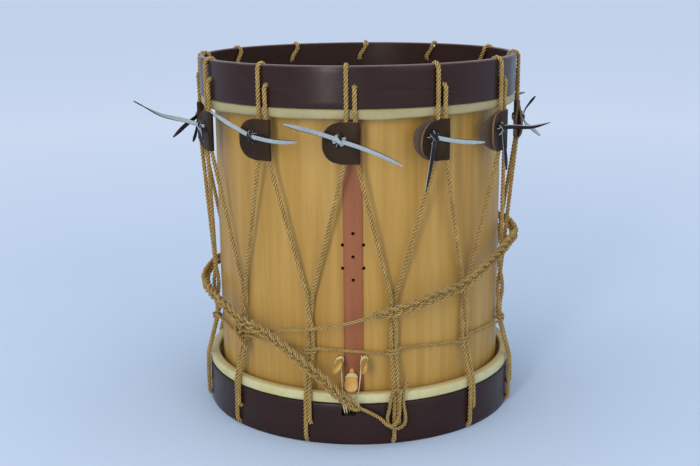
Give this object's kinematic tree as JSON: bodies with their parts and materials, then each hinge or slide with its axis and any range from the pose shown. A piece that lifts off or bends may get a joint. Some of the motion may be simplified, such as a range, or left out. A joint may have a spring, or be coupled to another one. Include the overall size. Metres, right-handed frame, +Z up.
{
  "type": "snare drum",
  "caption": "Rope-tensioned wooden snare drum: deep shell, dark counterhoops, skin heads, leather tension ears, drag rope and gut snares on pegs.",
  "frame": {"origin": "on the drum's axis, in the plane of the bottom counterhoop's lower edge, which it stands on", "axes": "+Z up along the drum's axis to the batter head; -Y is the front, with the shell's seam and the snare pegs"},
  "size_m": [0.5335, 0.4977, 0.4736],
  "materials": {
    "shell_wood": "satin lacquered blond ash, vertical grain",
    "batten_wood": "satin red-brown seam strip",
    "hoop_wood": "dark brown lacquer, worn glossy",
    "inner_wood": "bare wood",
    "calfskin": "cream calfskin, matt with yellow patches",
    "hemp_rope": "laid hemp, matt",
    "ear_leather": "dark brown leather, tan cut edges",
    "pale_thong": "grey flesh side of a thong, matt",
    "dark_thong": "black grain side of a thong",
    "peg_wood": "honey-coloured hardwood, satin",
    "gut": "translucent gut cord"
  },
  "bodies": {
    "root": {"shell": "shell_wood", "seam_batten": "batten_wood", "top_reinforcing_ring": "inner_wood", "bottom_reinforcing_ring": "inner_wood", "batter_head": "calfskin", "batter_flesh_hoop": "inner_wood", "snare_head": "calfskin", "snare_flesh_hoop": "inner_wood", "top_counterhoop": "hoop_wood", "bottom_counterhoop": "hoop_wood", "tension_rope_01": "hemp_rope", "tension_rope_02": "hemp_rope", "tension_rope_03": "hemp_rope", "tension_rope_04": "hemp_rope", "tension_rope_05": "hemp_rope", "tension_rope_06": "hemp_rope", "tension_rope_07": "hemp_rope", "tension_rope_08": "hemp_rope", "tension_rope_09": "hemp_rope", "tension_rope_10": "hemp_rope", "tension_rope_11": "hemp_rope", "tension_rope_12": "hemp_rope", "snare_gut_1": "gut", "snare_gut_2": "gut", "snare_gut_3": "gut", "waist_rope": "hemp_rope", "drag_rope_chain": "hemp_rope", "drag_rope_lead": "hemp_rope", "drag_rope_knot": "hemp_rope", "drag_rope_tail": "hemp_rope", "drag_rope_hitch": "hemp_rope"},
    "ear_01": {"tension_ear_01": "ear_leather", "ear_lace_01": "pale_thong"},
    "ear_02": {"tension_ear_02": "ear_leather", "ear_lace_02": "pale_thong"},
    "ear_03": {"tension_ear_03": "ear_leather", "ear_lace_03": "dark_thong"},
    "ear_04": {"tension_ear_04": "ear_leather", "ear_lace_04": "pale_thong"},
    "ear_05": {"tension_ear_05": "ear_leather", "ear_lace_05": "dark_thong"},
    "ear_06": {"tension_ear_06": "ear_leather", "ear_lace_06": "pale_thong"},
    "ear_07": {"tension_ear_07": "ear_leather", "ear_lace_07": "dark_thong"},
    "ear_08": {"tension_ear_08": "ear_leather", "ear_lace_08": "pale_thong"},
    "ear_09": {"tension_ear_09": "ear_leather", "ear_lace_09": "dark_thong"},
    "ear_10": {"tension_ear_10": "ear_leather", "ear_lace_10": "pale_thong"},
    "ear_11": {"tension_ear_11": "ear_leather", "ear_lace_11": "pale_thong"},
    "ear_12": {"tension_ear_12": "ear_leather", "ear_lace_12": "dark_thong"},
    "peg_1": {"snare_peg_1": "peg_wood"},
    "peg_2": {"snare_peg_2": "peg_wood"},
    "peg_3": {"snare_peg_3": "peg_wood"}
  },
  "joints": [
    {"name": "ear_01_slide", "type": "slide", "parent": "root", "child": "ear_01", "axis": [0, 0, -1], "range_m": [0, 0.07], "deforming": ["tension_rope_01"]},
    {"name": "ear_02_slide", "type": "slide", "parent": "root", "child": "ear_02", "axis": [0, 0, -1], "range_m": [0, 0.07], "deforming": ["tension_rope_02"]},
    {"name": "ear_03_slide", "type": "slide", "parent": "root", "child": "ear_03", "axis": [0, 0, -1], "range_m": [0, 0.07], "deforming": ["tension_rope_03"]},
    {"name": "ear_04_slide", "type": "slide", "parent": "root", "child": "ear_04", "axis": [0, 0, -1], "range_m": [0, 0.07], "deforming": ["tension_rope_04"]},
    {"name": "ear_05_slide", "type": "slide", "parent": "root", "child": "ear_05", "axis": [0, 0, -1], "range_m": [0, 0.07], "deforming": ["tension_rope_05"]},
    {"name": "ear_06_slide", "type": "slide", "parent": "root", "child": "ear_06", "axis": [0, 0, -1], "range_m": [0, 0.07], "deforming": ["tension_rope_06"]},
    {"name": "ear_07_slide", "type": "slide", "parent": "root", "child": "ear_07", "axis": [0, 0, -1], "range_m": [0, 0.07], "deforming": ["tension_rope_07"]},
    {"name": "ear_08_slide", "type": "slide", "parent": "root", "child": "ear_08", "axis": [0, 0, -1], "range_m": [0, 0.07], "deforming": ["tension_rope_08"]},
    {"name": "ear_09_slide", "type": "slide", "parent": "root", "child": "ear_09", "axis": [0, 0, -1], "range_m": [0, 0.07], "deforming": ["tension_rope_09"]},
    {"name": "ear_10_slide", "type": "slide", "parent": "root", "child": "ear_10", "axis": [0, 0, -1], "range_m": [0, 0.07], "deforming": ["tension_rope_10"]},
    {"name": "ear_11_slide", "type": "slide", "parent": "root", "child": "ear_11", "axis": [0, 0, -1], "range_m": [0, 0.07], "deforming": ["tension_rope_11"]},
    {"name": "ear_12_slide", "type": "slide", "parent": "root", "child": "ear_12", "axis": [0, 0, -1], "range_m": [0, 0.07], "deforming": ["tension_rope_12"]},
    {"name": "peg_1_turn", "type": "hinge", "parent": "root", "child": "peg_1", "pos_m": [-0.0243, -0.18965, 0.108], "axis": [-0.1227, -0.9581, -0.2588], "range_deg": [-180, 180]},
    {"name": "peg_2_turn", "type": "hinge", "parent": "root", "child": "peg_2", "pos_m": [-0.00967, -0.19096, 0.092], "axis": [-0.0414, -0.8181, -0.5736], "range_deg": [-180, 180]},
    {"name": "peg_3_turn", "type": "hinge", "parent": "root", "child": "peg_3", "pos_m": [0.00534, -0.19112, 0.108], "axis": [0.027, -0.9655, -0.2588], "range_deg": [-180, 180]}
  ]
}
